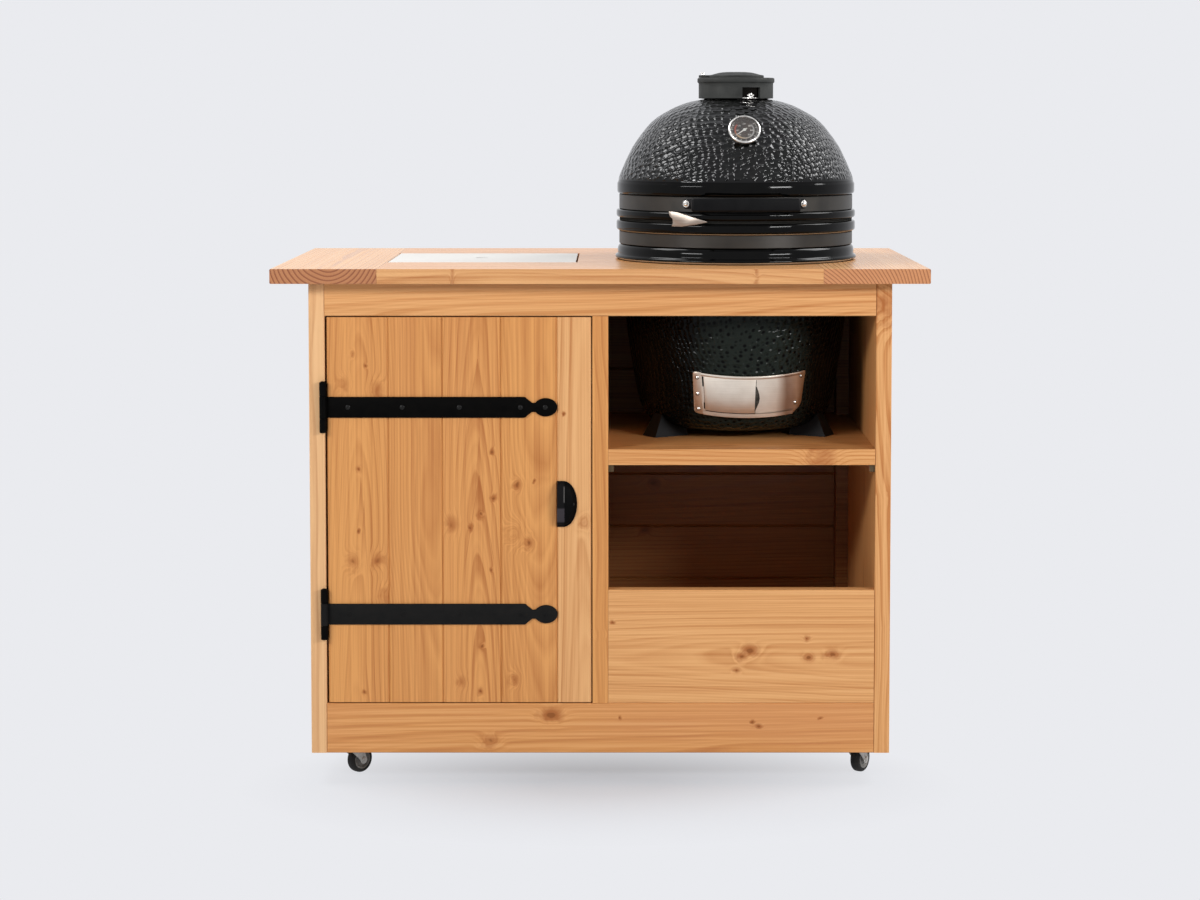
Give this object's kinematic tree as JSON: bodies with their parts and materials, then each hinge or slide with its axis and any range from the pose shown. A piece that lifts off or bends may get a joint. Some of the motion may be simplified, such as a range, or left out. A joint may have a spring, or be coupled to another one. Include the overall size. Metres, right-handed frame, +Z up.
{
  "type": "kamado grill table",
  "caption": "Timber grill table on casters: a ceramic kamado sunk through the top, a strap-hinged cupboard door, an open shelf over a bin, and a lift-out worktop plate.",
  "frame": {"origin": "on the floor under the middle of the table top", "axes": "+Z up, +X to the right seen from the front, -Y towards the front, where the door and the kamado's draft door are"},
  "size_m": [1.2, 0.7, 1.318],
  "materials": {
    "oiled_timber": "planed pine, oiled to an amber tone, with darker knots",
    "stained_timber": "tongue and groove cladding, oiled and darker",
    "worktop_plate": "pale grey, satin",
    "black_iron": "black, slightly textured",
    "black_plastic": "black, satin",
    "brushed_stainless": "brushed",
    "wheel_rubber": "matt black",
    "black_glaze": "black glaze, glossy, with a fine crackle",
    "bronze_band_steel": "dark bronze powder coat, satin",
    "gasket_felt": "dark woven felt",
    "fire_clay": "unglazed fire clay",
    "grey_cast_iron": "dark grey, rough cast",
    "needle_white": "white"
  },
  "bodies": {
    "cabinet": {"side_panel_left": "oiled_timber", "side_panel_right": "oiled_timber", "divider_panel": "oiled_timber", "top_rail_front": "oiled_timber", "top_rail_rear": "oiled_timber", "plinth_front": "oiled_timber", "plinth_rear": "oiled_timber", "floor_panel": "oiled_timber", "caster_bearer_left": "oiled_timber", "caster_bearer_right": "oiled_timber", "back_panel": "stained_timber", "kamado_shelf": "oiled_timber", "bin_front": "oiled_timber", "top_end_board_left": "oiled_timber", "top_end_board_right": "oiled_timber", "top_front_board": "oiled_timber", "top_back_board": "oiled_timber", "top_middle_board": "oiled_timber", "hinge_leaf_lower": "black_iron", "hinge_leaf_upper": "black_iron", "magnet_catch": "black_plastic", "ceramic_base": "black_glaze", "base_band": "bronze_band_steel", "base_gasket": "gasket_felt", "base_hinge_bracket": "bronze_band_steel", "draft_frame": "brushed_stainless", "kamado_foot_1": "black_plastic", "kamado_foot_2": "black_plastic", "kamado_foot_3": "black_plastic", "fire_box": "fire_clay", "fire_ring": "fire_clay", "charcoal_grate": "grey_cast_iron", "cooking_grate": "brushed_stainless"},
    "door": {"door_board_1": "oiled_timber", "door_board_2": "oiled_timber", "door_board_3": "oiled_timber", "door_board_4": "oiled_timber", "door_board_5": "oiled_timber", "door_ledges": "oiled_timber", "strap_upper": "black_iron", "strap_lower": "black_iron", "door_pull": "black_iron"},
    "lid": {"ceramic_dome": "black_glaze", "dome_band": "bronze_band_steel", "dome_gasket": "gasket_felt", "dome_hinge_bracket": "bronze_band_steel", "lid_handle": "black_plastic", "lid_tab": "brushed_stainless", "vent_housing": "grey_cast_iron", "thermometer_case": "brushed_stainless"},
    "worktop_plate": {"inlay_plate": "worktop_plate"},
    "damper": {"damper_disc": "grey_cast_iron"},
    "needle": {"thermometer_needle": "needle_white"},
    "draft_door": {"draft_slide": "brushed_stainless"},
    "fork_front_left": {"caster_fork_front_left": "brushed_stainless"},
    "fork_front_right": {"caster_fork_front_right": "brushed_stainless"},
    "wheel_front_left": {"caster_wheel_front_left": "wheel_rubber"},
    "wheel_front_right": {"caster_wheel_front_right": "wheel_rubber"},
    "wheel_rear_left": {"caster_wheel_rear_left": "wheel_rubber"},
    "wheel_rear_right": {"caster_wheel_rear_right": "wheel_rubber"}
  },
  "joints": [
    {"name": "door_hinge", "type": "hinge", "parent": "cabinet", "child": "door", "pos_m": [-0.5088, -0.3118, 0.508], "axis": [0, 0, -1], "range_deg": [0, 170]},
    {"name": "lid_hinge", "type": "hinge", "parent": "cabinet", "child": "lid", "pos_m": [0.25049, 0.24679, 1.041], "axis": [-0.9992, -0.0401, 0], "range_deg": [0, 75]},
    {"name": "plate_lift", "type": "slide", "parent": "cabinet", "child": "worktop_plate", "axis": [0, 0, 1], "range_m": [0, 0.06]},
    {"name": "damper_pivot", "type": "hinge", "parent": "lid", "child": "damper", "pos_m": [0.19705, -0.01757, 1.3096], "axis": [0, 0, 1], "range_deg": [0, 90]},
    {"name": "needle_turn", "type": "hinge", "parent": "lid", "child": "needle", "pos_m": [0.26846, -0.20078, 1.20779], "axis": [-0.0337, 0.838, -0.5446], "range_deg": [0, 250]},
    {"name": "draft_slide_turn", "type": "hinge", "parent": "cabinet", "child": "draft_door", "pos_m": [0.261, -0.015, 0.712], "axis": [0, 0, 1], "range_deg": [0, 24]},
    {"name": "swivel_front_left", "type": "hinge", "parent": "cabinet", "child": "fork_front_left", "pos_m": [-0.474, -0.244, 0.065], "axis": [0, 0, 1], "continuous": true},
    {"name": "swivel_front_right", "type": "hinge", "parent": "cabinet", "child": "fork_front_right", "pos_m": [0.474, -0.244, 0.065], "axis": [0, 0, 1], "continuous": true},
    {"name": "roll_front_left", "type": "hinge", "parent": "fork_front_left", "child": "wheel_front_left", "pos_m": [-0.4542, -0.2242, 0.025], "axis": [-0.7071, 0.7071, 0], "continuous": true},
    {"name": "roll_front_right", "type": "hinge", "parent": "fork_front_right", "child": "wheel_front_right", "pos_m": [0.48925, -0.22052, 0.025], "axis": [-0.8387, 0.5446, 0], "continuous": true},
    {"name": "roll_rear_left", "type": "hinge", "parent": "cabinet", "child": "wheel_rear_left", "pos_m": [-0.446, 0.2234, 0.025], "axis": [0, 1, 0], "continuous": true},
    {"name": "roll_rear_right", "type": "hinge", "parent": "cabinet", "child": "wheel_rear_right", "pos_m": [0.502, 0.2234, 0.025], "axis": [0, 1, 0], "continuous": true}
  ]
}
